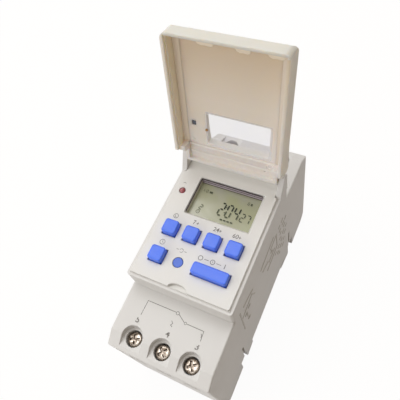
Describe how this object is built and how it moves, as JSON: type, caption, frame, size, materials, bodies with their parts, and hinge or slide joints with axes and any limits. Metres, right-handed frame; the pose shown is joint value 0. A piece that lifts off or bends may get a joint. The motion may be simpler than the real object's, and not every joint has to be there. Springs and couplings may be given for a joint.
{
  "type": "programmable digital timer switch",
  "caption": "Rail-mounted weekly timer switch with display, push keys, hinged cover with a clear window, rising-clamp screw terminals and a sprung rail clip.",
  "frame": {"origin": "middle of the back, in the plane of the back's flats", "axes": "+X across the width, +Y along the length toward the lid's hinge, +Z out of the face"},
  "size_m": [0.036, 0.088, 0.1083],
  "materials": {
    "case_abs": "fine moulded texture",
    "lid_abs": "satin",
    "clear_polycarbonate": "polished",
    "key_blue": "satin",
    "clip_nylon": "matt",
    "spring_steel": "bright",
    "tinned_brass": "tinned",
    "black_plastic": "matt",
    "red_lens": "polished",
    "display_glass": "polished",
    "contact_rubber": "matt",
    "circuit_board": "lacquered",
    "plated_can": "plated",
    "relay_blue": "moulded",
    "capacitor_yellow": "moulded",
    "nickel_plated_steel": "nickel plated",
    "zinc_plated_steel": "zinc plated"
  },
  "bodies": {
    "housing": {"main_case": "case_abs", "rear_cover": "case_abs", "face_plate": "case_abs", "terminal_lugs": "tinned_brass", "switch_bodies": "black_plastic", "led_indicator": "red_lens", "lcd_glass": "display_glass", "lcd_frame": "black_plastic", "lcd_contact_strips": "contact_rubber", "display_board": "circuit_board", "controller_chip": "black_plastic", "clock_crystal": "plated_can", "backup_cell": "plated_can", "cell_tabs": "plated_can", "link_pins": "tinned_brass", "pin_headers": "black_plastic", "power_board": "circuit_board", "relay": "relay_blue", "film_capacitor": "capacitor_yellow", "electrolytic_capacitor": "black_plastic", "bridge_rectifier": "black_plastic", "varistor": "relay_blue", "clip_spring": "spring_steel"},
    "lid": {"lid_cover": "lid_abs", "lid_window": "clear_polycarbonate"},
    "clip": {"rail_clip": "clip_nylon"},
    "key_mode": {"button_mode": "key_blue", "plunger_mode": "black_plastic"},
    "key_day": {"button_day": "key_blue", "plunger_day": "black_plastic"},
    "key_hour": {"button_hour": "key_blue", "plunger_hour": "black_plastic"},
    "key_minute": {"button_minute": "key_blue", "plunger_minute": "black_plastic"},
    "key_clock": {"button_clock": "key_blue", "plunger_clock": "black_plastic"},
    "key_reset": {"button_reset": "key_blue", "plunger_reset": "black_plastic"},
    "key_manual": {"button_manual": "key_blue", "plunger_manual": "black_plastic"},
    "terminal_screw_1": {"screw_1": "nickel_plated_steel"},
    "clamp_cage_1": {"cage_1": "zinc_plated_steel"},
    "terminal_screw_2": {"screw_2": "nickel_plated_steel"},
    "clamp_cage_2": {"cage_2": "zinc_plated_steel"},
    "terminal_screw_3": {"screw_3": "nickel_plated_steel"},
    "clamp_cage_3": {"cage_3": "zinc_plated_steel"},
    "terminal_screw_4": {"screw_4": "nickel_plated_steel"},
    "clamp_cage_4": {"cage_4": "zinc_plated_steel"},
    "terminal_screw_5": {"screw_5": "nickel_plated_steel"},
    "clamp_cage_5": {"cage_5": "zinc_plated_steel"}
  },
  "joints": [
    {"name": "lid_hinge", "type": "hinge", "parent": "housing", "child": "lid", "pos_m": [0, 0.022, 0.0629], "axis": [1, 0, 0], "range_deg": [0, 103.75]},
    {"name": "clip_slide", "type": "slide", "parent": "housing", "child": "clip", "axis": [0, -1, 0], "range_m": [0, 0.0035], "stiffness_N_per_m": 1500, "deforming": ["clip_spring"]},
    {"name": "press_mode", "type": "slide", "parent": "housing", "child": "key_mode", "axis": [0, 0, -1], "range_m": [0, 0.0005], "stiffness_N_per_m": 400},
    {"name": "press_day", "type": "slide", "parent": "housing", "child": "key_day", "axis": [0, 0, -1], "range_m": [0, 0.0005], "stiffness_N_per_m": 400},
    {"name": "press_hour", "type": "slide", "parent": "housing", "child": "key_hour", "axis": [0, 0, -1], "range_m": [0, 0.0005], "stiffness_N_per_m": 400},
    {"name": "press_minute", "type": "slide", "parent": "housing", "child": "key_minute", "axis": [0, 0, -1], "range_m": [0, 0.0005], "stiffness_N_per_m": 400},
    {"name": "press_clock", "type": "slide", "parent": "housing", "child": "key_clock", "axis": [0, 0, -1], "range_m": [0, 0.0005], "stiffness_N_per_m": 400},
    {"name": "press_reset", "type": "slide", "parent": "housing", "child": "key_reset", "axis": [0, 0, -1], "range_m": [0, 0.0005], "stiffness_N_per_m": 400},
    {"name": "press_manual", "type": "slide", "parent": "housing", "child": "key_manual", "axis": [0, 0, -1], "range_m": [0, 0.0005], "stiffness_N_per_m": 400},
    {"name": "turn_screw_1", "type": "hinge", "parent": "housing", "child": "terminal_screw_1", "pos_m": [-0.0102, -0.0392, 0.0443], "axis": [0, 0, -1], "range_deg": [0, 1800]},
    {"name": "raise_cage_1", "type": "slide", "parent": "housing", "child": "clamp_cage_1", "axis": [0, 0, 1], "range_m": [0, 0.0025]},
    {"name": "turn_screw_2", "type": "hinge", "parent": "housing", "child": "terminal_screw_2", "pos_m": [0, -0.0392, 0.0443], "axis": [0, 0, -1], "range_deg": [0, 1800]},
    {"name": "raise_cage_2", "type": "slide", "parent": "housing", "child": "clamp_cage_2", "axis": [0, 0, 1], "range_m": [0, 0.0025]},
    {"name": "turn_screw_3", "type": "hinge", "parent": "housing", "child": "terminal_screw_3", "pos_m": [0.0102, -0.0392, 0.0443], "axis": [0, 0, -1], "range_deg": [0, 1800]},
    {"name": "raise_cage_3", "type": "slide", "parent": "housing", "child": "clamp_cage_3", "axis": [0, 0, 1], "range_m": [0, 0.0025]},
    {"name": "turn_screw_4", "type": "hinge", "parent": "housing", "child": "terminal_screw_4", "pos_m": [-0.0102, 0.0392, 0.0443], "axis": [0, 0, -1], "range_deg": [0, 1800]},
    {"name": "raise_cage_4", "type": "slide", "parent": "housing", "child": "clamp_cage_4", "axis": [0, 0, 1], "range_m": [0, 0.0025]},
    {"name": "turn_screw_5", "type": "hinge", "parent": "housing", "child": "terminal_screw_5", "pos_m": [0.0102, 0.0392, 0.0443], "axis": [0, 0, -1], "range_deg": [0, 1800]},
    {"name": "raise_cage_5", "type": "slide", "parent": "housing", "child": "clamp_cage_5", "axis": [0, 0, 1], "range_m": [0, 0.0025]}
  ],
  "couplings": [
    {"joint": "turn_screw_1", "follows": "raise_cage_1", "rad_per_m": 12566},
    {"joint": "turn_screw_2", "follows": "raise_cage_2", "rad_per_m": 12566},
    {"joint": "turn_screw_3", "follows": "raise_cage_3", "rad_per_m": 12566},
    {"joint": "turn_screw_4", "follows": "raise_cage_4", "rad_per_m": 12566},
    {"joint": "turn_screw_5", "follows": "raise_cage_5", "rad_per_m": 12566}
  ]
}
